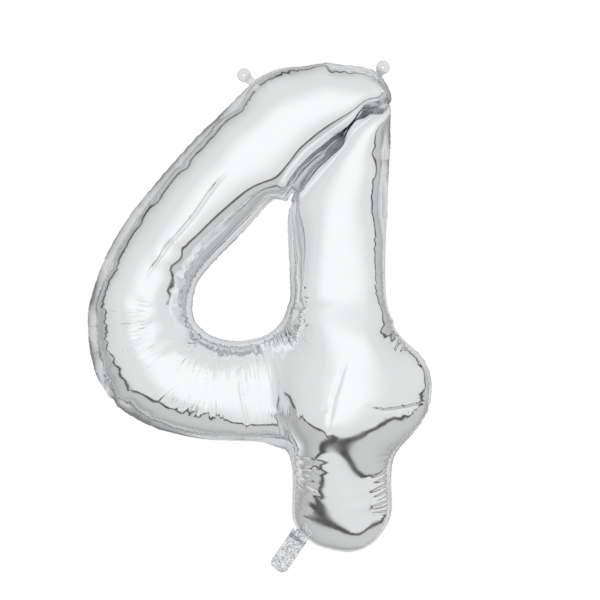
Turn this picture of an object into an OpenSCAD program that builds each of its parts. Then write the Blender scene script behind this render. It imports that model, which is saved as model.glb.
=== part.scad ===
// Foil number balloon, figure 4, inflated.
// Millimetres. +Z is up, the front faces -Y, and the origin is the centre of the left hanging eyelet.
// Two foil sheets are welded together along a flat flange; a film valve runs through the filling tail.

/* [Foil sheets] */
// Thickness of each foil sheet
foil_t = 0.5; // [0.4:0.1:0.6]
// Width of the flat welded flange along every edge
flange_w = 12; // [9:1:13]
// Half width up to which a tube's cross-section is a true circle
round_up_to = 62; // [50:1:70]

/* [Hanging tabs] */
// Radius of the round end of a tab
tab_r = 11; // [9:0.5:12]
// Width of a tab where it leaves the flange
tab_neck_w = 13; // [10:1:16]
// Radius of the punched eyelet
eyelet_r = 2.5; // [2:0.25:4]
// Distance from a tab's fold line to its eyelet
tab_reach = 13; // [12:0.5:16]

/* [Filling tail] */
// Length of the tail beyond its fold line
tail_len = 64; // [45:1:70]
// Width of the tail
tail_w = 31; // [28:1:36]
// Radius of the tail's outer corners
tail_corner_r = 11; // [6:1:14]

/* [Valve] */
// Thickness of each valve film
film_t = 0.15; // [0.1:0.05:0.2]
// Width of the valve films
valve_w = 20; // [16:1:22]
// Length of the free valve leaves inside the balloon
leaf_len = 90; // [60:5:110]
// Thickness of the release print between the films
print_t = 0.1; // [0.05:0.05:0.1]

/* [Hidden] */

// Ribs across the main tube, from the top right nose round the bend to the stub.
// Each rib is [x, z] on the outer weld line and [x, z] on the inner one.
main_ribs = [
    [[222, -14], [222, -32]],
    [[208, 0], [204, -60]],
    [[158, 9], [156, -104]],
    [[86, 8], [112, -144]],
    [[28, -16], [74, -179]],
    [[-20, -64], [32, -218]],
    [[-110, -181], [-38, -282]],
    [[-198, -296], [-86, -330]],
    [[-240, -390], [-97, -374]],
    [[-229, -480], [-86, -414]],
    [[-166, -553], [-56, -444]],
    [[-60, -584], [-16, -453]],
    [[50, -590], [46, -447]],
    [[112, -604], [110, -430]],
    [[214, -618], [214, -424]],
    [[262, -580], [262, -472]],
    [[294, -538], [294, -494]],
    [[302, -523], [302, -508]]
];
// Ribs across the upright and the stem, from the top apex to the foot.
stem_ribs = [
    [[217, -66], [226, -66]],
    [[196, -88], [227, -92]],
    [[104, -174], [222, -186]],
    [[89, -240], [221, -240]],
    [[87, -370], [216, -370]],
    [[86, -440], [224, -440]],
    [[92, -606], [226, -622]],
    [[99, -660], [220, -664]],
    [[98, -742], [224, -735]],
    [[114, -764], [212, -768]],
    [[140, -775], [192, -779]]
];
// Inside the counter of the figure and across the web between the tubes
counter_blank = [
    [-140, -390], [-80, -470], [60, -470], [110, -430], [130, -200],
    [222, -90], [224, -50], [210, -32], [60, -140]
];
// Fold lines: [x, z] of the middle and the heading, in degrees, that the tab or tail points to
left_tab = [-tab_reach * cos(139), -tab_reach * sin(139), 139];
right_tab = [222, 2, 56];
tail = [90, -763, 235];
// Gap from a fold line to the sheet's edge, which lets the two plies turn clear of it
fold_gap = 1.2;
// Gap between a film's fixed part and its leaf
leaf_gap = 0.3;
// How far the neck films reach back from the tail's fold line, past the weld
neck_len = 28;
// Half the thickness of the valve's stack of films and print
stack_t = film_t + print_t / 2;
// Room left round the valve's films, through their thickness and at each side
relief_t = 0.02;
relief_side = 0.5;
// The tail's films start this far past the fold line and stop short of the tail's end
film_start = 1;
film_short = 3;
// The release print stops this far inside the neck films, at its sides and its end
print_margin = 4;
// How fast a tube wider than round_up_to still grows in depth
wide_slope = 0.45;
// How far the flange's foot at a fold reaches back, and how far the clearance cut reaches out
foot_len = 15;
clear_len = 20;
// Widths of the foot and of the clearance cut at each fold
left_foot = [tab_neck_w + 6, tab_neck_w + 12];
right_foot = [tab_neck_w + 4, tab_neck_w + 8];
tail_foot = [tail_w, tail_w + 8];
steps_per_rib = 3;
rib_facets = 14;
// Facets of the punched and cut rounds, of the flange's bends and of the creases
round_facets = 64;
bend_facets = 48;
crease_facets = 32;

// Catmull-Rom curve through values a, b, c, d between b and c
function curve(a, b, c, d, t) =
    0.5 * (2 * b + (c - a) * t + (2 * a - 5 * b + 4 * c - d) * t * t + (3 * b - a - 3 * c + d) * t * t * t);
function rib_at(ribs, i) = ribs[max(0, min(len(ribs) - 1, i))];
function smooth_ribs(ribs) = [
    for (i = [0 : len(ribs) - 2], s = [0 : steps_per_rib - (i < len(ribs) - 2 ? 1 : 0)])
        curve(rib_at(ribs, i - 1), ribs[i], ribs[i + 1], rib_at(ribs, i + 2), s / steps_per_rib)
];
function without_ends(ribs) = [for (i = [1 : len(ribs) - 2]) ribs[i]];
function seam_loop(ribs) = concat(
    [for (r = ribs) r[0]],
    [for (i = [len(ribs) - 1 : -1 : 0]) ribs[i][1]]
);

main_tube = smooth_ribs(main_ribs);
stem_tube = smooth_ribs(stem_ribs);

// How far a tube stands off the weld plane, given half its width: wide stretches are flatter than a circle
function crown(half) = half < round_up_to ? half : round_up_to + (half - round_up_to) * wide_slope;

// A half ellipse from one end of a rib to the other, which for a hollow starts behind the weld plane
function rib_arc(rib, inset) =
    let (
        across = rib[1] - rib[0],
        half = norm(across) / 2,
        out = across / (2 * half),
        middle = (rib[0] + rib[1]) / 2,
        wide = half - inset,
        deep = crown(half) - inset,
        skirt = inset > 0 ? 1 : 0
    )
    [
        for (i = [0 : rib_facets])
            let (
                angle = 180 * i / rib_facets,
                side = -cos(angle) * wide,
                lift = (i == 0 || i == rib_facets) ? -skirt : sin(angle) * deep
            )
            [middle.x + out.x * side, -lift, middle.y + out.y * side]
    ];

// A closed solid through the ribs, standing on the weld plane
module tube(ribs, inset) {
    arcs = [for (r = ribs) rib_arc(r, inset)];
    row = rib_facets + 1;
    last = (len(ribs) - 1) * row;
    sides = [
        for (j = [0 : len(ribs) - 2], i = [0 : rib_facets])
            let (a = j * row + i, b = j * row + (i + 1) % row)
            each [[a, b, a + row], [b, b + row, a + row]]
    ];
    caps = [[for (i = [rib_facets : -1 : 0]) i], [for (i = [0 : rib_facets]) last + i]];
    polyhedron([for (arc = arcs) each arc], concat(sides, caps));
}

module tubes(inset) {
    tube(inset > 0 ? without_ends(main_tube) : main_tube, inset);
    tube(inset > 0 ? without_ends(stem_tube) : stem_tube, inset);
}

// Lays a flat outline drawn in [x, z] out as a ply of thickness t, from y = -from towards the front
module ply(t, from = 0) {
    translate([0, -from, 0]) rotate([90, 0, 0]) linear_extrude(t) children();
}

// Local frame of a fold: x points out along the tab or tail, and the fold line is z through the origin
module at_fold(fold) {
    translate([fold[0], 0, fold[1]]) rotate([0, -fold[2], 0]) children();
}

module at_fold_flat(fold) {
    translate([fold[0], fold[1]]) rotate(fold[2]) children();
}

module seam_area() {
    polygon(seam_loop(main_tube));
    polygon(seam_loop(stem_tube));
}

module counter_cut() {
    offset(r = -flange_w, $fn = bend_facets)
        difference() {
            polygon(counter_blank);
            seam_area();
        }
}

// The flange reaches out to each fold as a short foot, and stops there
module fold_foot(fold, width) {
    at_fold_flat(fold) translate([-foot_len, -width / 2]) square([foot_len, width]);
}

module fold_clearance(fold, width) {
    at_fold_flat(fold) translate([-fold_gap, -width / 2]) square([clear_len, width]);
}

module sheet_outline() {
    difference() {
        union() {
            offset(r = flange_w, $fn = bend_facets) {
                seam_area();
                polygon(counter_blank);
            }
            fold_foot(left_tab, left_foot[0]);
            fold_foot(right_tab, right_foot[0]);
            fold_foot(tail, tail_foot[0]);
        }
        counter_cut();
        fold_clearance(left_tab, left_foot[1]);
        fold_clearance(right_tab, right_foot[1]);
        fold_clearance(tail, tail_foot[1]);
    }
}

module valve_relief() {
    at_fold(tail)
        translate([-neck_len - 2, -stack_t - relief_t, -valve_w / 2 - relief_side])
            cube([neck_len + 3, stack_t + 1, valve_w + 2 * relief_side]);
}

// One crowned sheet with its half of the flange
module foil_sheet() {
    difference() {
        union() {
            tubes(0);
            ply(foil_t) sheet_outline();
        }
        tubes(foil_t);
        valve_relief();
    }
}

module tab_outline() {
    difference() {
        union() {
            translate([0, -tab_neck_w / 2]) square([tab_reach, tab_neck_w]);
            translate([tab_reach, 0]) circle(tab_r, $fn = round_facets);
        }
        translate([tab_reach, 0]) circle(eyelet_r, $fn = round_facets);
    }
}

module tail_outline() {
    flat_w = tail_w - 2 * tail_corner_r;
    union() {
        translate([0, -tail_w / 2]) square([tail_len - tail_corner_r, tail_w]);
        translate([0, -flat_w / 2]) square([tail_len, flat_w]);
        for (side = [-1, 1])
            translate([tail_len - tail_corner_r, side * flat_w / 2])
                circle(tail_corner_r, $fn = round_facets);
    }
}

// The half-round crease along a fold line, on the front side
module crease(radius, width) {
    intersection() {
        cylinder(r = radius, h = width, center = true, $fn = crease_facets);
        translate([-radius - 1, -radius - 1, -width]) cube([2 * radius + 2, radius + 1, 2 * width]);
    }
}

module tab_ply(fold) {
    at_fold(fold) {
        crease(foil_t, tab_neck_w);
        ply(foil_t) tab_outline();
    }
}

// The tail's foil ply is recessed on its inner face for the valve film
module tail_ply() {
    at_fold(tail)
        difference() {
            union() {
                crease(foil_t, tail_w);
                ply(foil_t) tail_outline();
            }
            translate([-1, -stack_t - relief_t, -valve_w / 2 - relief_side])
                cube([tail_len + 2, stack_t + 1, valve_w + 2 * relief_side]);
        }
}

module film(start, length) {
    at_fold(tail) ply(film_t, print_t / 2) translate([start, -valve_w / 2]) square([length, valve_w]);
}

// The free leaf, with a round crease where it bends away from the neck film
module valve_leaf() {
    root = -neck_len - leaf_gap;
    at_fold(tail) {
        ply(film_t, print_t / 2) translate([root - leaf_len, -valve_w / 2]) square([leaf_len, valve_w]);
        translate([root, -stack_t + film_t / 2, 0])
            cylinder(r = film_t / 2, h = valve_w, center = true, $fn = crease_facets);
    }
}

module back() { mirror([0, 1, 0]) children(); }

module front_foil() { color("silver") foil_sheet(); }
module back_foil() { color("silver") back() foil_sheet(); }
module left_tab_front_ply() { color("silver") tab_ply(left_tab); }
module left_tab_back_ply() { color("silver") back() tab_ply(left_tab); }
module right_tab_front_ply() { color("silver") tab_ply(right_tab); }
module right_tab_back_ply() { color("silver") back() tab_ply(right_tab); }
module tail_front_ply() { color("gainsboro") tail_ply(); }
module tail_back_ply() { color("gainsboro") back() tail_ply(); }
module tail_front_film() { color("white") film(film_start, tail_len - film_short); }
module tail_back_film() { color("white") back() film(film_start, tail_len - film_short); }
module neck_front_film() { color("white") film(-neck_len, neck_len - fold_gap); }
module neck_back_film() { color("white") back() film(-neck_len, neck_len - fold_gap); }
module release_print() {
    color("gray") at_fold(tail)
        ply(print_t, -print_t / 2)
            translate([1 - neck_len, -valve_w / 2 + print_margin])
                square([neck_len - print_margin, valve_w - 2 * print_margin]);
}
module front_valve_leaf() { color("white") valve_leaf(); }
module back_valve_leaf() { color("white") back() valve_leaf(); }

front_foil();
back_foil();
left_tab_front_ply();
left_tab_back_ply();
right_tab_front_ply();
right_tab_back_ply();
tail_front_ply();
tail_back_ply();
tail_front_film();
tail_back_film();
neck_front_film();
neck_back_film();
release_print();
front_valve_leaf();
back_valve_leaf();
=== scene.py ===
import math
import random
import bpy
import bmesh
import numpy as np
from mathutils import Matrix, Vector, geometry, kdtree, noise
from mathutils.bvhtree import BVHTree


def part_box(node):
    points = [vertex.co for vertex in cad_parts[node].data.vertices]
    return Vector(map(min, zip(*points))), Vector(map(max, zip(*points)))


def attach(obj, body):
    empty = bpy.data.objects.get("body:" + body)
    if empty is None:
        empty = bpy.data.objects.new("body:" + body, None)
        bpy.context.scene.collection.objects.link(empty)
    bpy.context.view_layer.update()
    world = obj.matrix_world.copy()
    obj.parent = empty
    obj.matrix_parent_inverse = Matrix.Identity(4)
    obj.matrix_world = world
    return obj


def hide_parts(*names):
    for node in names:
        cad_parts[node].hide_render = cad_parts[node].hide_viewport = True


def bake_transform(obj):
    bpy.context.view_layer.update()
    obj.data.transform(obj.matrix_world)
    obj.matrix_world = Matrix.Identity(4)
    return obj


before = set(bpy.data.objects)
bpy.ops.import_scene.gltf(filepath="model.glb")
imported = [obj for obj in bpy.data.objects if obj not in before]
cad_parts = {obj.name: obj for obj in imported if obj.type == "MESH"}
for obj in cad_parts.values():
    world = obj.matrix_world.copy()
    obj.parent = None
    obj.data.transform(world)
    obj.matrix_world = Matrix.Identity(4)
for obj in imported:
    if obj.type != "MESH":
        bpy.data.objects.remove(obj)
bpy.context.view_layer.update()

scene = bpy.context.scene
mm = 0.001

# The flat pattern that both sheets are cut to, in mm: x, z and the width of the flange outside the seam.
# Gas swells each stroke into a tube, so the flat strokes are about half as wide again as the full balloon's.
foilPattern = {
    "outerSeam": [
        (203, 12, 13), (215, 36, 13), (198, 60, 13), (150, 73, 13), (95, 78, 13), (35, 68, 14), (-31, 32, 15),
        (-97, -38, 15), (-170, -128, 15), (-227, -206, 16), (-264, -300, 17), (-280, -400, 18), (-266, -498, 19),
        (-212, -566, 20), (-140, -606, 20), (-55, -624, 20), (20, -634, 19), (56, -646, 19), (67, -690, 18),
        (70, -750, 16), (82, -800, 12), (132, -836, 10), (206, -838, 9), (252, -796, 13), (260, -730, 18),
        (268, -672, 18), (296, -640, 14), (330, -604, 9), (342, -558, 8), (320, -480, 9), (288, -438, 13),
        (280, -390, 16), (280, -330, 16), (280, -240, 16), (278, -160, 16), (271, -100, 16), (250, -50, 15)],
    "lowerWeb": [(194, -64, 0), (155, -113, 0), (113, -158, 0), (88, -195, 0)],
    "counterSeam": [
        (84, -263, 12), (88, -333, 11), (86, -393, 11), (62, -432, 11), (6, -451, 11), (-54, -434, 12),
        (-89, -388, 12), (-74, -326, 12), (-20, -269, 13)],
    "upperWeb": [(59, -180, 0), (92, -138, 0), (135, -91, 0), (176, -41, 0), (203, 8, 0)],
    "spacing": 3.6,  # between the film mesh's points along the seams
    "quickSpacing": 10.0,
    "fineBand": 46.0,  # how far from the seams the fine mesh reaches
    "cutSize": (0.66, 0.96),  # metres, the sheet that the figure is cut from
}

# How the film is blown up: high tension, next to no bending, and a gas pressure on the tubes alone
inflation = {
    "frames": 60,
    "quality": 5,
    "pointMass": 0.001,
    "stretch": 18.0,
    "shear": 6.0,
    "bend": 0.02,
    "sealBend": 0.6,  # the two plies welded together are stiffer
    "pressure": 110.0,
    "airDrag": 2.0,
    "startNoise": 0.12,  # mm
}


def srgb(code):
    parts = [int(code[i:i + 2], 16) / 255 for i in (1, 3, 5)]
    return [c / 12.92 if c < 0.04045 else ((c + 0.055) / 1.055) ** 2.4 for c in parts] + [1.0]


def addNode(tree, kind, settings=None, links=None):
    # settings: attribute or input name -> value; links: input name -> output socket
    item = tree.nodes.new(kind)
    for key, value in (settings or {}).items():
        if hasattr(item, key) and key not in item.inputs:
            setattr(item, key, value)
        else:
            item.inputs[key].default_value = value
    for key, socket in (links or {}).items():
        tree.links.new(socket, item.inputs[key])
    return item


def treeOf(points):
    tree = kdtree.KDTree(len(points))
    for i, p in enumerate(points):
        tree.insert(p.to_3d(), i)
    tree.balance()
    return tree


def newMaterial(name):
    material = bpy.data.materials.new(name)
    material.use_nodes = True
    material.node_tree.nodes.clear()
    return material, material.node_tree


def newPiece(name, mesh, material, body):
    piece = bpy.data.objects.new(name, mesh)
    scene.collection.objects.link(piece)
    mesh.materials.clear()
    mesh.materials.append(material)
    for face in mesh.polygons:
        face.material_index = 0
        face.use_smooth = True
    if body:
        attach(piece, body)
    return piece


# materials

foilFinish = {
    "silver": "#f4f5f6",
    "haze": 0.10,  # roughness of the bright film
    "sealHaze": 0.42,
    "sealedSilver": "#dddee0",
    "crinkle": 2.4,  # mm between the finest crinkles
    "crinkleDepth": 0.02,  # mm
}


def makeSilverFilm():
    # vacuum-metallised nylon film: a mirror with a slight haze, duller where the hot bar has pressed the seam
    material, tree = newMaterial("metallisedFilm")
    where = addNode(tree, "ShaderNodeTexCoord")
    sealed = addNode(tree, "ShaderNodeAttribute", {"attribute_name": "sealed"})
    crinkle = addNode(tree, "ShaderNodeTexNoise", {"Scale": 1 / (foilFinish["crinkle"] * mm), "Detail": 3.0},
                      {"Vector": where.outputs["Object"]})
    waves = addNode(tree, "ShaderNodeTexNoise", {"Scale": 38.0, "Detail": 2.0},  # patches 26 mm across
                    {"Vector": where.outputs["Object"]})
    sealGrain = addNode(tree, "ShaderNodeTexNoise", {"Scale": 700.0, "Detail": 2.0},  # the bar's grain, 1.4 mm
                        {"Vector": where.outputs["Object"]})
    hazeRange = addNode(tree, "ShaderNodeMapRange", {"From Min": 0.3, "From Max": 0.7,
                                                    "To Min": foilFinish["haze"] * 0.8,
                                                    "To Max": foilFinish["haze"] * 1.25},
                        {"Value": waves.outputs["Fac"]})
    haze = addNode(tree, "ShaderNodeMix", {"data_type": "FLOAT"})
    tree.links.new(sealed.outputs["Fac"], haze.inputs[0])
    tree.links.new(hazeRange.outputs["Result"], haze.inputs[2])
    haze.inputs[3].default_value = foilFinish["sealHaze"]
    grain = addNode(tree, "ShaderNodeMath", {"operation": "MULTIPLY"})
    tree.links.new(sealed.outputs["Fac"], grain.inputs[0])
    tree.links.new(sealGrain.outputs["Fac"], grain.inputs[1])
    bump = addNode(tree, "ShaderNodeBump", {"Strength": 0.25, "Distance": foilFinish["crinkleDepth"] * mm},
                   {"Height": crinkle.outputs["Fac"]})
    sealBump = addNode(tree, "ShaderNodeBump", {"Strength": 0.5, "Distance": 0.05 * mm},
                       {"Height": grain.outputs[0], "Normal": bump.outputs["Normal"]})
    tone = addNode(tree, "ShaderNodeMix", {"data_type": "RGBA"})
    tree.links.new(sealed.outputs["Fac"], tone.inputs[0])
    tone.inputs[6].default_value = srgb(foilFinish["silver"])
    tone.inputs[7].default_value = srgb(foilFinish["sealedSilver"])
    surface = addNode(tree, "ShaderNodeBsdfPrincipled", {"Metallic": 1.0},
                      {"Base Color": tone.outputs[2], "Roughness": haze.outputs[0],
                       "Normal": sealBump.outputs["Normal"]})
    addNode(tree, "ShaderNodeOutputMaterial", links={"Surface": surface.outputs["BSDF"]})
    return material


silverFilm = makeSilverFilm()


# the two foils: a flat pattern, blown up as cloth

def smoothLoop(points, stepsPerSpan=10):
    loop = []
    count = len(points)
    for i in range(count):
        a, b, c, d = (points[(i + k - 1) % count] for k in range(4))
        for s in range(stepsPerSpan):
            t = s / stepsPerSpan
            loop.append(0.5 * (2 * b + (c - a) * t + (2 * a - 5 * b + 4 * c - d) * t * t
                               + (3 * b - a - 3 * c + d) * t * t * t))
    return loop


def evenLoop(points, step):
    count = len(points)
    lengths = [(points[(i + 1) % count] - points[i]).length for i in range(count)]
    total = sum(lengths)
    stops = max(8, round(total / step))
    loop, i, passed = [], 0, 0.0
    for k in range(stops):
        reach = total * k / stops
        while passed + lengths[i] < reach:
            passed += lengths[i]
            i += 1
        loop.append(points[i].lerp(points[(i + 1) % count], (reach - passed) / max(lengths[i], 1e-9)))
    return loop


def flangeSide(points, i):
    # the seam runs anticlockwise round the gas, so outwards is to the right of travel
    along = (points[(i + 1) % len(points)] - points[i - 1]).normalized()
    return Vector((along.y, -along.x))


def patternLoops(step):
    stretches = [foilPattern[name] for name in ("outerSeam", "lowerWeb", "counterSeam", "upperWeb")]
    seam = [Vector(p[:2]) for part in stretches for p in part]
    width = [p[2] for part in stretches for p in part]
    firstCounter = len(stretches[0]) + len(stretches[1])
    lastCounter = firstCounter + len(stretches[2])
    edge = [seam[i] + flangeSide(seam, i) * width[i] for i in range(len(seam))]
    apex = (seam[firstCounter - 1] + seam[lastCounter]) / 2
    outline = edge[:len(stretches[0])]
    counter = [apex] + edge[firstCounter:lastCounter]
    return [evenLoop([p * mm for p in smoothLoop(loop)], step) for loop in (seam, outline, counter)]


def crossings(loop, height):
    found = []
    for i, b in enumerate(loop):
        a = loop[i - 1]
        if (a.y <= height) != (b.y <= height):
            found.append(a.x + (height - a.y) * (b.x - a.x) / (b.y - a.y))
    return sorted(found)


def latticePoints(seam, outline, counter, step, fineBand, clear):
    # a triangular lattice over the film, one point in four beyond the fine band
    near = treeOf(seam + outline + counter)
    points = []
    rowHeight = step * math.sqrt(3) / 2
    low, high = min(p.y for p in outline), max(p.y for p in outline)
    for row in range(1, int((high - low) / rowHeight) + 1):
        height = low + row * rowHeight
        shift = step / 2 if row % 2 else 0.0
        film, hole = crossings(outline, height), crossings(counter, height)
        for left, right in zip(film[0::2], film[1::2]):
            for k in range(math.ceil((left - shift) / step), math.floor((right - shift) / step) + 1):
                x = k * step + shift
                if sum(1 for h in hole if h < x) % 2:
                    continue
                gap = near.find(Vector((x, height, 0)))[2]
                coarse = row % 2 == 0 and (k + row // 2) % 2 == 0
                if gap > clear and (gap < fineBand or coarse):
                    points.append(Vector((x, height)))
    return points


def anticlockwise(indices, points):
    turn = sum(points[indices[i - 1]].cross(points[indices[i]]) for i in range(len(indices)))
    return indices if turn > 0 else indices[::-1]


def triangulate(seam, outline, counter, inner):
    # returns the flat points, the triangles that hold gas and those of the sealed flange
    points = seam + outline + counter + inner
    starts = [0, len(seam), len(seam) + len(outline), len(seam) + len(outline) + len(counter)]
    loops = [anticlockwise(list(range(a, b)), points) for a, b in zip(starts, starts[1:])]
    flat, _, triangles, _, _, inLoops = geometry.delaunay_2d_cdt(points, [], loops, 1, 1e-6)
    film = [(anticlockwise(list(t), flat), inside) for t, inside in zip(triangles, inLoops)
            if 1 in inside and 2 not in inside]
    gas = [t for t, inside in film if 0 in inside and max(t) >= len(seam)]
    flange = [t for t, inside in film if 0 not in inside or max(t) < len(seam)]
    return flat, gas, flange


def makeFlatFilm():
    # both sheets share the seam's points; outside it the two plies are one layer until they are parted again
    step = foilPattern["spacing"] * mm
    seam, outline, counter = patternLoops(step)
    lattice = latticePoints(seam, outline, counter, step, foilPattern["fineBand"] * mm, 0.55 * step)
    flat, gas, flange = triangulate(seam, outline, counter, lattice)
    film = bmesh.new()
    onFlange = {i for t in flange for i in t} | set(range(len(seam)))
    random.seed(7)
    verts, place = {}, {}
    for i in sorted({i for t in gas + flange for i in t}):
        for side in ((0,) if i in onFlange else (-1, 1)):
            lift = (0.2 * side + random.uniform(-1, 1) * inflation["startNoise"]) * mm
            place[i, side] = len(verts)
            verts[i, side] = film.verts.new((flat[i].x, lift, flat[i].y))

    def pick(i, side):
        return (i, 0) if i in onFlange else (i, side)

    for kind, group in ((0, gas), (1, gas), (2, flange)):
        for t in group:
            corners = [verts[pick(i, (-1, 1, 0)[kind])] for i in t]
            face = film.faces.new(corners[::-1] if kind == 1 else corners)
            face.material_index = kind
    mesh = bpy.data.meshes.new("film")
    film.to_mesh(mesh)
    film.free()
    piece = bpy.data.objects.new("film", mesh)
    scene.collection.objects.link(piece)
    blown = {v for f in mesh.polygons if f.material_index < 2 for v in f.vertices}
    piece.vertex_groups.new(name="blown").add(sorted(blown), 1.0, "REPLACE")
    sealed = {v for f in mesh.polygons if f.material_index == 2 for v in f.vertices}
    piece.vertex_groups.new(name="sealed").add(sorted(sealed), 1.0, "REPLACE")
    area = sum(f.area for f in mesh.polygons if f.material_index != 1)
    print("flat film:", len(mesh.vertices), "points,", round(area, 4), "square metres a sheet")
    corners = {side: [[place[pick(i, side)] for i in t] for t in gas + flange] for side in (-1, 1)}
    edgeStarts = (len(seam), len(seam) + len(outline), len(seam) + len(outline) + len(counter))
    edges = [[place[i, 0] for i in range(a, b) if (i, 0) in place] for a, b in zip(edgeStarts, edgeStarts[1:])]
    return {"piece": piece, "flat": flat, "triangles": gas + flange, "corners": corners, "edges": edges,
            "area": area}


def inflate(film):
    piece = film["piece"]
    cloth = piece.modifiers.new("gas", "CLOTH")
    settings = cloth.settings
    settings.quality = inflation["quality"]
    settings.mass = inflation["pointMass"]
    settings.tension_stiffness = settings.compression_stiffness = inflation["stretch"]
    settings.shear_stiffness = inflation["shear"]
    settings.bending_stiffness = inflation["bend"]
    settings.bending_stiffness_max = inflation["sealBend"]
    settings.vertex_group_bending = "sealed"
    settings.air_damping = inflation["airDrag"]
    settings.use_pressure = True
    settings.uniform_pressure_force = inflation["pressure"]
    settings.vertex_group_pressure = "blown"
    settings.effector_weights.gravity = 0
    cloth.collision_settings.use_collision = False
    cloth.point_cache.frame_end = inflation["frames"]
    scene.frame_end = inflation["frames"]
    for frameNumber in range(1, inflation["frames"] + 1):
        scene.frame_set(frameNumber)
    shape = piece.evaluated_get(bpy.context.evaluated_depsgraph_get()).data
    blown = np.array([v.co for v in shape.vertices])
    edges = np.array([e.vertices for e in shape.edges])
    piece.modifiers.remove(cloth)
    scene.frame_set(1)
    bpy.data.objects.remove(piece)
    return blown, edges


def relax(points, edges, rounds, swell=-0.52, held=0.0):
    # takes the random crumples out of the film: each round shrinks it, then swells it again
    free = (1 - held) * np.ones((len(points), 1))
    share = np.zeros(len(points))
    for a, b in ((0, 1), (1, 0)):
        np.add.at(share, edges[:, a], 1)
    for _ in range(rounds):
        for push in (0.5, swell):
            total = np.zeros_like(points)
            for a, b in ((0, 1), (1, 0)):
                np.add.at(total, edges[:, a], points[edges[:, b]])
            points = points + push * free * (total / share[:, None] - points)
    return points


def centre(points):
    # the blown film drifts a little, so its box is centred on the CAD foils' box
    low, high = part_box("front_foil")
    middle = np.array(((low.x + high.x) / 2, 0, (low.z + high.z) / 2))
    return points + middle - (points.min(axis=0) + points.max(axis=0)) / 2


def tighten(points, edges):
    points = relax(centre(points), edges, cutEdge["relaxRounds"])
    loose = np.zeros(len(points))
    for x, z, reach in cutEdge["tight"]:
        away = np.hypot(points[:, 0] - x * mm, points[:, 2] - z * mm) / (reach * mm)
        loose = np.maximum(loose, np.clip(2.5 - 2.5 * away, 0, 1))
    return relax(points, edges, cutEdge["tightRounds"], cutEdge["tightSwell"], 1 - loose[:, None])


def easeEdge(film, points):
    # the film's cut edge goes on to the full balloon's, and the rest of the film goes with the edge beside it
    moves, anchors = [], []
    for loop, target in zip(film["edges"], (cutEdge["outer"], cutEdge["counter"])):
        line = evenLoop([p * mm for p in smoothLoop([Vector(p) for p in target])], 1.0 * mm)
        tree = treeOf(line)
        for k in loop[::cutEdge["everyPoint"]]:
            at = points[k]
            goal = tree.find(Vector((at[0], at[2], 0)))[0]
            anchors.append((at[0], at[2]))
            moves.append(((goal.x - at[0]) * cutEdge["ease"], -at[1] * cutEdge["flatten"],
                          (goal.y - at[2]) * cutEdge["ease"]))
    anchors, moves = np.array(anchors), np.array(moves)
    print("cut edge moves:", round(float(np.abs(moves).max()), 4))
    moved = np.zeros_like(points)
    for start in range(0, len(points), 4000):
        part = points[start:start + 4000]
        gap = (part[:, None, 0] - anchors[None, :, 0]) ** 2 + (part[:, None, 2] - anchors[None, :, 1]) ** 2
        weight = 1 / (gap + (cutEdge["grip"] * mm) ** 2) ** 2
        moved[start:start + 4000] = weight @ moves / weight.sum(axis=1)[:, None]
    return points + moved


# The full balloon's cut edges in x and z, the CAD foils' own, in mm
cutEdge = {
    "outer": [
        (18, -3), (57, 14), (99, 16), (129, 22), (159, 18), (201, 13), (219, 5), (235, -19), (235, -35), (241, -55),
        (236, -256), (236, -341), (243, -384), (258, -432), (292, -463), (306, -492), (309, -517), (305, -546),
        (289, -583), (249, -634), (243, -668), (242, -716), (231, -748), (204, -779), (175, -789), (143, -785),
        (112, -775), (82, -745), (78, -722), (78, -665), (74, -640), (64, -622), (42, -614), (25, -609), (-45, -605),
        (-81, -600), (-142, -584), (-186, -563), (-215, -539), (-241, -502), (-254, -461), (-258, -418),
        (-257, -379), (-243, -335), (-225, -292), (-190, -235), (-162, -198), (-120, -145), (-67, -87), (-14, -37)],
    "counter": [
        (86, -160), (82, -188), (78, -204), (72, -239), (75, -355), (71, -377), (62, -402), (44, -423), (18, -434),
        (-19, -439), (-60, -428), (-88, -399), (-87, -388), (-84, -360), (-78, -341), (-56, -313), (-37, -291),
        (-5, -259)],
    "ease": 0.85,  # how much of the way the film's edge goes
    "flatten": 0.6,
    "grip": 7.0,  # mm
    "relaxRounds": 14,
    # where the gas pulls the film tightest, so it has no random folds: x, z and how far round, in mm
    "tight": [(75, -510, 85), (165, -690, 125), (235, -585, 70), (60, 5, 75), (-40, -545, 110), (205, -340, 110)],
    "tightRounds": 120,
    "everyPoint": 3,  # one point in three of the edge draws the film
    "tightSwell": -0.25,
}

# The finished sheets' own mesh: rows along the seams, close enough for the fine puckers that run off them
sheetMesh = {
    "along": 1.7,  # mm
    "rows": (-36.0, -27.0, -19.5, -13.5, -8.5, -4.5, -1.8, 5.5),
    "inside": 8.0,  # mm between points away from the seams
    "offFolds": 3.0,  # mm kept clear beside the creases' own points
    "foldRows": (-1.6, -0.9, -0.4, 0.0, 0.4, 0.9, 1.6),  # shares of a crease's reach
    "ply": 0.12,
}

# Where the film gathers off a seam: flat x and z, how far along the seam, height, how far in, and spacing, in mm
puckers = [
    (-285, -440, 190, 1.8, 60, 8.0),
    (-120, -615, 150, 1.5, 46, 9.0),
    (-90, -390, 90, 2.4, 70, 8.5),
    (0, -450, 110, 3.0, 80, 8.0),
    (86, -393, 80, 2.4, 70, 7.5),
    (281, -350, 90, 2.0, 60, 7.5),
    (305, -450, 60, 2.7, 50, 7.5),
    (300, -640, 60, 2.7, 46, 8.0),
    (66, -690, 90, 3.0, 56, 9.0),
    (262, -720, 70, 2.4, 50, 8.5),
    (110, 76, 150, 1.1, 32, 14.0),
]


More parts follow.
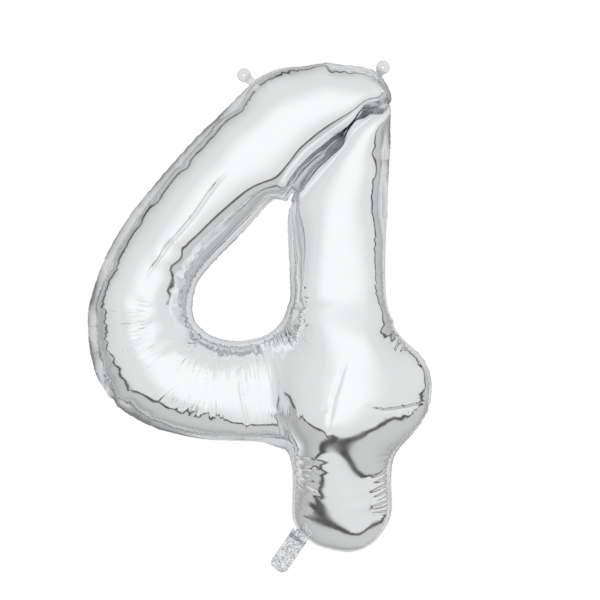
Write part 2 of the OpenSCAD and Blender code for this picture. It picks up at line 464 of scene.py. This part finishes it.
# Long creases and rows of short gathers that cross the tubes, in the flat pattern's x and z, in mm
folds = [
    {"line": [(-186, -335), (-144, -269), (-104, -217), (-76, -167), (-47, -130)], "deep": 4.2, "reach": 2.8},
    {"line": [(-25, -463), (-32, -517), (-32, -554), (-30, -612)], "deep": 1.6, "reach": 3.4},
    {"line": [(194, -478), (178, -527), (169, -552), (160, -612)], "deep": 2.6, "reach": 3.6},
    {"line": [(205, -562), (223, -573), (241, -579), (274, -581), (325, -586)], "deep": 1.6, "reach": 3.0},
    {"line": [(128, -560), (150, -568), (170, -560)], "deep": 1.6, "reach": 3.4},
    {"line": [(-209, -357), (-205, -404), (-194, -448), (-176, -484)], "tall": 2.2, "reach": 13.0, "spacing": 5.5},
    {"line": [(-180, -345), (-186, -390), (-180, -436), (-158, -478)], "tall": 2.0, "reach": 11.0, "spacing": 6.0},
    {"line": [(-176, -484), (-150, -520), (-100, -548), (-40, -560)], "tall": 2.4, "reach": 13.0, "spacing": 5.5},
    {"line": [(-133, -412), (-119, -454), (-86, -485), (-29, -506), (40, -506)], "tall": 3.1, "reach": 17.0,
     "spacing": 6.5},
    {"line": [(-20, -562), (50, -579), (128, -569)], "tall": 1.5, "reach": 9.0, "spacing": 6.0},
    {"line": [(126, -350), (128, -395), (120, -440), (90, -476)], "tall": 2.9, "reach": 17.0, "spacing": 6.5},
    {"line": [(112, -650), (112, -690), (108, -735)], "tall": 3.1, "reach": 15.0, "spacing": 6.5},
    {"line": [(-60, -35), (-12, 8), (40, 30)], "tall": 1.0, "reach": 16.0, "spacing": 11.0},
]


def gatherRow(count, step, tall, far, spacing):
    # one gather after another, each with its own width, height and length; tall and far are lists along the row
    gathers, at = [(0.0, 1.0)] * count, 0.0
    while at < count:
        here = min(count - 1, int(at))
        width = spacing[here] * mm / step * random.uniform(0.7, 1.45)
        high, long = tall[here] * mm * random.uniform(0.35, 1.3), far[here] * mm * random.uniform(0.45, 1.35)
        for k in range(math.ceil(at), min(count, math.ceil(at + width))):
            gathers[k] = (high * math.sin(math.pi * (k - at) / width) ** 0.55, long)
        at += width
    return gathers


def layPuckers(seam):
    random.seed(11)
    tall, far, spacing = [0.0] * len(seam), [1.0] * len(seam), [9.0] * len(seam)
    for i, here in enumerate(seam):
        for x, z, reach, high, long, gap in puckers:
            near = math.exp(-((here - Vector((x, z)) * mm).length / (reach * mm)) ** 4)
            if near * high > tall[i]:
                tall[i], far[i], spacing[i] = near * high, long, gap
    return gatherRow(len(seam), (seam[1] - seam[0]).length, tall, far, spacing)


def layFolds(step):
    random.seed(13)
    laid = []
    for fold in folds:
        ends = [Vector(p) * mm for p in fold["line"]]
        lengths = [(b - a).length for a, b in zip(ends, ends[1:])]
        line = []
        for a, b, length in zip(ends, ends[1:], lengths):
            steps = max(1, round(length / step))
            line += [a.lerp(b, k / steps) for k in range(steps)]
        count = len(line)
        fade = [min(1.0, 4 * min(i, count - i) / count) for i in range(count)]
        if "tall" in fold:
            gathers = gatherRow(count, step, [fold["tall"] * f for f in fade], [fold["reach"]] * count,
                                [fold["spacing"]] * count)
        else:
            gathers = [(-fold["deep"] * mm * f, fold["reach"] * mm) for f in fade]
        laid.append({"line": line, "tree": treeOf(line), "gathers": gathers, "reach": fold["reach"] * mm})
    return laid


def makeSheetPlan():
    step = sheetMesh["along"] * mm * 1
    seam, outline, counter = patternLoops(step)
    near, edge = treeOf(seam), treeOf(outline + counter)
    rows = []
    for offset in sheetMesh["rows"]:
        skip = 2 if offset < -15 else 1
        for i in range(0, len(seam), skip):
            p = seam[i] + flangeSide(seam, i) * offset * mm
            if near.find(p.to_3d())[2] > abs(offset) * 0.96 * mm and edge.find(p.to_3d())[2] > 2 * mm:
                rows.append(p)
    clear = -sheetMesh["rows"][0] * mm * 1.12
    lattice = latticePoints(seam, outline, counter, sheetMesh["inside"] * mm, 1.0, clear)
    laidFolds = layFolds(step)
    lines = []
    for fold in laidFolds:
        line = fold["line"]
        for share in sheetMesh["foldRows"]:
            for i in range(1, len(line) - 1):
                across = (line[i + 1] - line[i - 1]).normalized()
                p = line[i] + Vector((across.y, -across.x)) * share * fold["reach"]
                if near.find(p.to_3d())[2] > clear * 0.6:
                    lines.append(p)
    lineTree = treeOf(lines)
    lattice = [p for p in lattice if lineTree.find(p.to_3d())[2] > sheetMesh["offFolds"] * mm]
    flat, gas, flange = triangulate(seam, outline, counter, rows + lines + lattice)
    gathers = layPuckers(seam)
    print("sheet plan:", len(flat), "points,", len(gas) + len(flange), "triangles")
    return {"flat": flat, "gas": gas, "flange": flange, "near": near, "gathers": gathers, "folds": laidFolds,
            "seams": len(seam)}


def makeSheet(name, side, film, blown, plan):
    # the finished mesh lies on the blown film, point for point in the flat pattern
    flatTree = BVHTree.FromPolygons([p.to_3d() for p in film["flat"]], film["triangles"])
    sheet = bmesh.new()
    sealedLayer = sheet.verts.layers.float.new("sealed")
    used = sorted({i for t in plan["gas"] + plan["flange"] for i in t})
    inGas = {i for t in plan["gas"] for i in t if i >= plan["seams"]}
    verts = {}
    for i in used:
        at, _, face, _ = flatTree.find_nearest(plan["flat"][i].to_3d())
        a, b, c = (film["flat"][k].to_3d() for k in film["triangles"][face])
        pa, pb, pc = (Vector(blown[k]) for k in film["corners"][side][face])
        verts[i] = sheet.verts.new(geometry.barycentric_transform(at, a, b, c, pa, pb, pc))
        verts[i][sealedLayer] = 0.0 if i in inGas else 0.5 if i < plan["seams"] else 1.0
    for t in plan["gas"] + plan["flange"]:
        corners = [verts[i] for i in t]
        sheet.faces.new(corners[::-1] if side == 1 else corners)
    soft = [verts[i] for i in inGas]
    for _ in range(3):
        bmesh.ops.smooth_vert(sheet, verts=soft, factor=0.5, use_axis_x=True, use_axis_y=True, use_axis_z=True)
    sheet.normal_update()
    normals = {i: verts[i].normal.copy() for i in used}
    for i in used:
        _, k, gap = plan["near"].find(plan["flat"][i].to_3d())
        tall, far = plan["gathers"][k]
        if i in inGas:
            rise = min(1.0, 0.3 + gap / (5 * mm))
            height = tall * rise * math.exp(-(gap / far) ** 2)
            for fold in plan["folds"]:
                _, k, gap = fold["tree"].find(plan["flat"][i].to_3d())
                if gap < 3 * fold["reach"]:
                    tall, far = fold["gathers"][k]
                    height += tall * math.exp(-(gap / far) ** 2)
            verts[i].co += normals[i] * height
        else:
            verts[i].co.y -= 0.3 * tall
    mesh = bpy.data.meshes.new(name)
    sheet.to_mesh(mesh)
    sheet.free()
    return mesh


flatFilm = makeFlatFilm()
blownFilm, filmEdges = inflate(flatFilm)
blownFilm = easeEdge(flatFilm, tighten(blownFilm, filmEdges))
sheetPlan = makeSheetPlan()
foilPieces = {}
for name, node, side in (("frontFoil", "front_foil", -1), ("backFoil", "back_foil", 1)):
    mesh = makeSheet(name, side, flatFilm, blownFilm, sheetPlan)
    foil = newPiece(name, mesh, silverFilm, "envelope")
    ply = foil.modifiers.new("ply", "SOLIDIFY")
    ply.thickness = sheetMesh["ply"] * mm
    ply.offset = 1.0
    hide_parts(node)
    foilPieces[name] = foil
print("foils ready")


# the hanging tabs, the filling tail and the valve

tabs = {
    # fold: x and z of the fold's middle in mm, and the way the tab points, in degrees
    "leftTab": {"body": "left_tab", "nodes": ("left_tab_front_ply", "left_tab_back_ply"),
                "fold": (9.811, -8.529, 139)},
    "rightTab": {"body": "right_tab", "nodes": ("right_tab_front_ply", "right_tab_back_ply"),
                 "fold": (222, 2, 56)},
}
# all in mm; root is what lies on the flange, bend is half the length that turns, gap is from the middle to a ply
tabShape = {"reach": 13, "radius": 11, "neck": 13, "eyelet": 2.5, "root": 9, "mesh": 1.4, "bend": 3.0,
            "crinkle": 0.35, "gap": 0.01, "ply": 0.1}
tail = {"fold": (90, -763, 235), "length": 64, "width": 31, "corner": 11, "root": 7, "mesh": 1.5, "crinkle": 1.5,
        "bend": 4.0, "gap": 0.16, "ply": 0.1}
# the films stop a little short of the fold and the mouth, and the print a little short of the film's ends
valve = {"width": 20, "neck": 28, "gap": 0.05, "mesh": 2.0, "ply": 0.04, "pastFold": 1, "mouth": 2,
         "beforeFold": 1.2}
releasePrint = {"width": 12, "short": 1, "beforeFold": 3, "ply": 0.004}


def fillOutline(outline, hole, step):
    inner = latticePoints([], outline, hole, step * mm, 1.0, 0.6 * step * mm)
    points = outline + hole + inner
    loops = [anticlockwise(list(range(len(outline))), points)]
    if hole:
        loops.append(anticlockwise(list(range(len(outline), len(outline) + len(hole))), points))
    flat, _, triangles, _, _, inLoops = geometry.delaunay_2d_cdt(points, [], loops, 1, 1e-7)
    kept = [t for t, inside in zip(triangles, inLoops) if 0 in inside and 1 not in inside]
    return flat, [anticlockwise(list(t), flat) for t in kept]


def arc(x, z, radius, first, last, steps):
    turns = [math.radians(first + (last - first) * k / steps) for k in range(steps + 1)]
    return [Vector((x + radius * math.cos(a), z + radius * math.sin(a))) for a in turns]


def stripOutline(start, end, width, corner=0.0):
    half = width / 2
    if not corner:
        return [Vector(p) for p in ((start, -half), (end, -half), (end, half), (start, half))]
    return ([Vector((start, -half))] + arc(end - corner, corner - half, corner, -90, 0, 14)
            + arc(end - corner, half - corner, corner, 0, 90, 14) + [Vector((start, half))])


def flangeSurface(foil):
    # the sealed band alone, where both plies lie together
    sealed = foil.data.attributes["sealed"].data
    bands = [tuple(face.vertices) for face in foil.data.polygons if min(sealed[k].value for k in face.vertices) > 0.4]
    return BVHTree.FromPolygons([v.co for v in foil.data.vertices], bands)


flangeTree = flangeSurface(foilPieces["frontFoil"])


def flangeLevel(x, z):
    # how far back the puckered flange lies at this place
    hit = flangeTree.ray_cast(Vector((x, -0.5, z)), Vector((0, 1, 0)))[0]
    return hit.y if hit else flangeTree.find_nearest(Vector((x, 0, z)))[0].y


def layStrip(name, outline, hole, fold, side, gap, step, crinkle=0.0, ease=9.0):
    # a flat strip in the fold's own line (u away from the balloon, v across), bedded in the flange at its root
    outline = evenLoop([p * mm for p in outline], step * mm)
    hole = evenLoop([p * mm for p in hole], step * mm) if hole else []
    flat, triangles = fillOutline(outline, hole, step)
    turn = math.radians(fold[2])
    strip = bmesh.new()
    sealedLayer = strip.verts.layers.float.new("sealed")
    verts = []
    for p in flat:
        x = fold[0] * mm + p.x * math.cos(turn) - p.y * math.sin(turn)
        z = fold[1] * mm + p.x * math.sin(turn) + p.y * math.cos(turn)
        t = min(1.0, max(0.0, p.x / (ease * mm)))
        free = t * t * (3 - 2 * t)
        y = flangeLevel(x, z) * (1 - free) + side * gap * mm * (0.12 + 0.88 * free)
        wave = noise.noise(Vector((p.x, 0.3, p.y * 1.4)) * 95) + 0.5 * noise.noise(Vector((p.x * 1.3, 4.0, p.y)) * 240)
        verts.append(strip.verts.new((x, y + crinkle * mm * free * wave, z)))
        verts[-1][sealedLayer] = 0.8
    for t in triangles:
        corners = [verts[i] for i in t]
        strip.faces.new(corners[::-1] if side == 1 else corners)
    area = sum(f.calc_area() for f in strip.faces)
    mesh = bpy.data.meshes.new(name)
    strip.to_mesh(mesh)
    strip.free()
    return mesh, area


def addPly(name, made, material, body, nodes, thick, fold=None):
    mesh, area = made
    piece = newPiece(name, mesh, material, None if fold else body)
    ply = piece.modifiers.new("ply", "SOLIDIFY")
    ply.thickness = thick * mm
    ply.offset = 1.0
    if fold:
        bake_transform(piece)
    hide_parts(*nodes)


def makeTailFilm():
    # the same metallised nylon, left unsealed and handled: soft grey speckle where the coating is crazed
    material, tree = newMaterial("crazedMetallisedFilm")
    where = addNode(tree, "ShaderNodeTexCoord")
    speckle = addNode(tree, "ShaderNodeTexNoise", {"Scale": 260.0, "Detail": 4.0, "Roughness": 0.7},  # 3.8 mm
                      {"Vector": where.outputs["Object"]})
    tone = addNode(tree, "ShaderNodeValToRGB", links={"Fac": speckle.outputs["Fac"]})
    tone.color_ramp.elements[0].position, tone.color_ramp.elements[1].position = 0.40, 0.58
    tone.color_ramp.elements[0].color, tone.color_ramp.elements[1].color = srgb("#a9abae"), srgb("#f2f3f4")
    creases = addNode(tree, "ShaderNodeTexVoronoi", {"Scale": 150.0},  # crumples 6.7 mm apart
                      {"Vector": where.outputs["Object"]})
    bump = addNode(tree, "ShaderNodeBump", {"Strength": 0.5, "Distance": 0.5 * mm},
                   {"Height": creases.outputs["Distance"]})
    surface = addNode(tree, "ShaderNodeBsdfPrincipled", {"Metallic": 1.0, "Roughness": 0.26},
                      {"Base Color": tone.outputs["Color"], "Normal": bump.outputs["Normal"]})
    addNode(tree, "ShaderNodeOutputMaterial", links={"Surface": surface.outputs["BSDF"]})
    return material


def makeValveFilm():
    # blown polyethylene film: milky and see-through, with the faint draw lines of the blowing
    material, tree = newMaterial("blownPolyethylene")
    where = addNode(tree, "ShaderNodeTexCoord")
    place = addNode(tree, "ShaderNodeMapping", {"Rotation": (0, math.radians(55), 0), "Scale": (1.0, 1.0, 0.08)},
                    {"Vector": where.outputs["Object"]})
    lines = addNode(tree, "ShaderNodeTexNoise", {"Scale": 900.0, "Detail": 2.0},  # draw lines 1.1 mm apart
                    {"Vector": place.outputs["Vector"]})
    tone = addNode(tree, "ShaderNodeValToRGB", links={"Fac": lines.outputs["Fac"]})
    tone.color_ramp.elements[0].color, tone.color_ramp.elements[1].color = srgb("#dfe3e5"), srgb("#f3f6f7")
    bump = addNode(tree, "ShaderNodeBump", {"Strength": 0.2, "Distance": 0.05 * mm}, {"Height": lines.outputs["Fac"]})
    surface = addNode(tree, "ShaderNodeBsdfPrincipled",
                      {"IOR": 1.51, "Roughness": 0.32, "Transmission Weight": 0.55},
                      {"Base Color": tone.outputs["Color"], "Normal": bump.outputs["Normal"]})
    addNode(tree, "ShaderNodeOutputMaterial", links={"Surface": surface.outputs["BSDF"]})
    return material


def makeReleaseInk():
    # gravure-printed release ink: matt grey, thinner and lighter between the cells
    material, tree = newMaterial("printedReleaseInk")
    where = addNode(tree, "ShaderNodeTexCoord")
    cells = addNode(tree, "ShaderNodeTexVoronoi", {"Scale": 1600.0},  # cells 0.6 mm across
                    {"Vector": where.outputs["Object"]})
    tone = addNode(tree, "ShaderNodeValToRGB", links={"Fac": cells.outputs["Distance"]})
    tone.color_ramp.elements[0].color, tone.color_ramp.elements[1].color = srgb("#6a6e72"), srgb("#8b9094")
    surface = addNode(tree, "ShaderNodeBsdfPrincipled", {"Roughness": 0.62}, {"Base Color": tone.outputs["Color"]})
    addNode(tree, "ShaderNodeOutputMaterial", links={"Surface": surface.outputs["BSDF"]})
    return material


tailFilm, valveFilm, releaseInk = makeTailFilm(), makeValveFilm(), makeReleaseInk()

for name, tab in tabs.items():
    reach, radius, halfNeck = tabShape["reach"], tabShape["radius"], tabShape["neck"] / 2
    lean = math.degrees(math.asin(halfNeck / radius))
    shape = ([Vector((-tabShape["root"], -halfNeck))] + arc(reach, 0, radius, lean - 180, 180 - lean, 40)
             + [Vector((-tabShape["root"], halfNeck))])
    hole = arc(reach, 0, tabShape["eyelet"], 0, 345, 23)
    for label, side, node in zip(("Front", "Back"), (-1, 1), tab["nodes"]):
        made = layStrip(name + label, shape, hole, tab["fold"], side, tabShape["gap"], tabShape["mesh"],
                        tabShape["crinkle"])
        addPly(name + label, made, silverFilm, tab["body"], [node], tabShape["ply"],
               tab["fold"])
print("tabs ready")

for label, side, end in (("Front", -1, "front"), ("Back", 1, "back")):
    shape = stripOutline(-tail["root"], tail["length"], tail["width"], tail["corner"])
    made = layStrip("tail" + label, shape, None, tail["fold"], side, tail["gap"], tail["mesh"], tail["crinkle"])
    addPly("tail" + label, made, tailFilm, "tail",
           [f"tail_{end}_ply"], tail["ply"], tail["fold"])
    start, stop = valve["pastFold"], tail["length"] - valve["mouth"]
    shape = stripOutline(start, stop, valve["width"])
    made = layStrip("tailFilm" + label, shape, None, tail["fold"], side, valve["gap"], tail["mesh"],
                    tail["crinkle"])
    addPly("tailFilm" + label, made, valveFilm, "tail",
           [f"tail_{end}_film"], valve["ply"], tail["fold"])
    shape = stripOutline(-valve["neck"], -valve["beforeFold"], valve["width"])
    made = layStrip("neckFilm" + label, shape, None, tail["fold"], side, valve["gap"], valve["mesh"])
    addPly("neckFilm" + label, made, valveFilm, "envelope",
           [f"neck_{end}_film"], valve["ply"])
start, stop = releasePrint["short"] - valve["neck"], -releasePrint["beforeFold"]
shape = stripOutline(start, stop, releasePrint["width"])
made = layStrip("releasePrint", shape, None, tail["fold"], -1, 0.0, valve["mesh"])
addPly("releasePrint", made, releaseInk, "envelope",
       ["release_print"], releasePrint["ply"])
for node in ("front_valve_leaf", "back_valve_leaf"):
    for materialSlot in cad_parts[node].material_slots:
        materialSlot.material = valveFilm
print("tail and valve ready")


# light and camera

studio = {
    # brightness by the direction: from straight behind the balloon, over the sides, to straight in front
    "round": [(0.0, 0.98), (0.06, 0.90), (0.15, 0.62), (0.24, 0.50), (0.34, 0.64), (0.5, 0.74), (0.7, 0.81),
              (0.83, 0.82), (0.91, 0.92), (0.97, 1.02), (1.0, 1.04)],
    # and from below, over the table's dark edge, to above
    "upright": [(0.0, 0.92), (0.30, 0.84), (0.455, 0.78), (0.463, 0.08), (0.500, 0.08), (0.508, 1.0), (1.0, 1.0)],
    # the directions that the two run towards
    "roundLean": (0.22, -1.0, 0.12),
    "uprightLean": (0.0, -1.35, 1.0),
    "floorRadius": 2.9,
    "floorMiddle": (0.03, 0.1),
    "floorDrop": 0.4,  # below the tail
    "camera": {"x": 0.0924, "z": -0.371, "distance": 4.5, "across": 0.99},
}


def makeSky():
    # a white studio that is dimmer behind and below, so the mirror film has something to show
    world = bpy.data.worlds.new("studio")
    scene.world = world
    world.use_nodes = True
    tree = world.node_tree
    tree.nodes.clear()
    where = addNode(tree, "ShaderNodeTexCoord")
    ramps = []
    for name in ("round", "upright"):
        lean = addNode(tree, "ShaderNodeVectorMath", {"operation": "DOT_PRODUCT"}, {0: where.outputs["Generated"]})
        lean.inputs[1].default_value = Vector(studio[name + "Lean"]).normalized()
        share = addNode(tree, "ShaderNodeMapRange", {"From Min": -1.0, "From Max": 1.0},
                        {"Value": lean.outputs["Value"]})
        ramp = addNode(tree, "ShaderNodeValToRGB", links={"Fac": share.outputs["Result"]})
        stops = studio[name]
        ramp.color_ramp.elements[0].position, ramp.color_ramp.elements[1].position = 0.0, 1.0
        for at, _ in stops[1:-1]:
            ramp.color_ramp.elements.new(at)
        for stop, (_, level) in zip(ramp.color_ramp.elements, stops):
            stop.color = (level, level, level, 1)
        ramps.append(ramp.outputs["Color"])
    both = addNode(tree, "ShaderNodeVectorMath", {"operation": "MULTIPLY"}, {0: ramps[0], 1: ramps[1]})
    path = addNode(tree, "ShaderNodeLightPath")
    mix = addNode(tree, "ShaderNodeMix", {"data_type": "RGBA"})
    tree.links.new(path.outputs["Is Camera Ray"], mix.inputs[0])
    tree.links.new(both.outputs["Vector"], mix.inputs[6])
    mix.inputs[7].default_value = (1, 1, 1, 1)
    sky = addNode(tree, "ShaderNodeBackground", {"Strength": 1.0}, {"Color": mix.outputs[2]})
    addNode(tree, "ShaderNodeOutputWorld", links={"Surface": sky.outputs["Background"]})


def makeFloor():
    slab = bmesh.new()
    bmesh.ops.create_circle(slab, cap_ends=True, segments=128, radius=studio["floorRadius"])
    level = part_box("tail_front_ply")[0].z - studio["floorDrop"]
    bmesh.ops.translate(slab, verts=slab.verts, vec=(*studio["floorMiddle"], level))
    mesh = bpy.data.meshes.new("floor")
    slab.to_mesh(mesh)
    slab.free()
    floor = bpy.data.objects.new("floor", mesh)
    scene.collection.objects.link(floor)
    material, tree = newMaterial("paintedFloor")
    surface = addNode(tree, "ShaderNodeBsdfPrincipled", {"Base Color": srgb("#f7f7f5"), "Roughness": 0.8})
    addNode(tree, "ShaderNodeOutputMaterial", links={"Surface": surface.outputs["BSDF"]})
    mesh.materials.append(material)
    floor.visible_glossy = False


def makeCamera():
    view = studio["camera"]
    camera = bpy.data.objects.new("camera", bpy.data.cameras.new("camera"))
    scene.collection.objects.link(camera)
    camera.location = (view["x"], -view["distance"], view["z"])
    camera.rotation_euler = (math.radians(90), 0, 0)
    camera.data.lens = camera.data.sensor_width * view["distance"] / view["across"]
    scene.camera = camera


makeSky()
makeFloor()
makeCamera()
scene.view_settings.view_transform = "Standard"
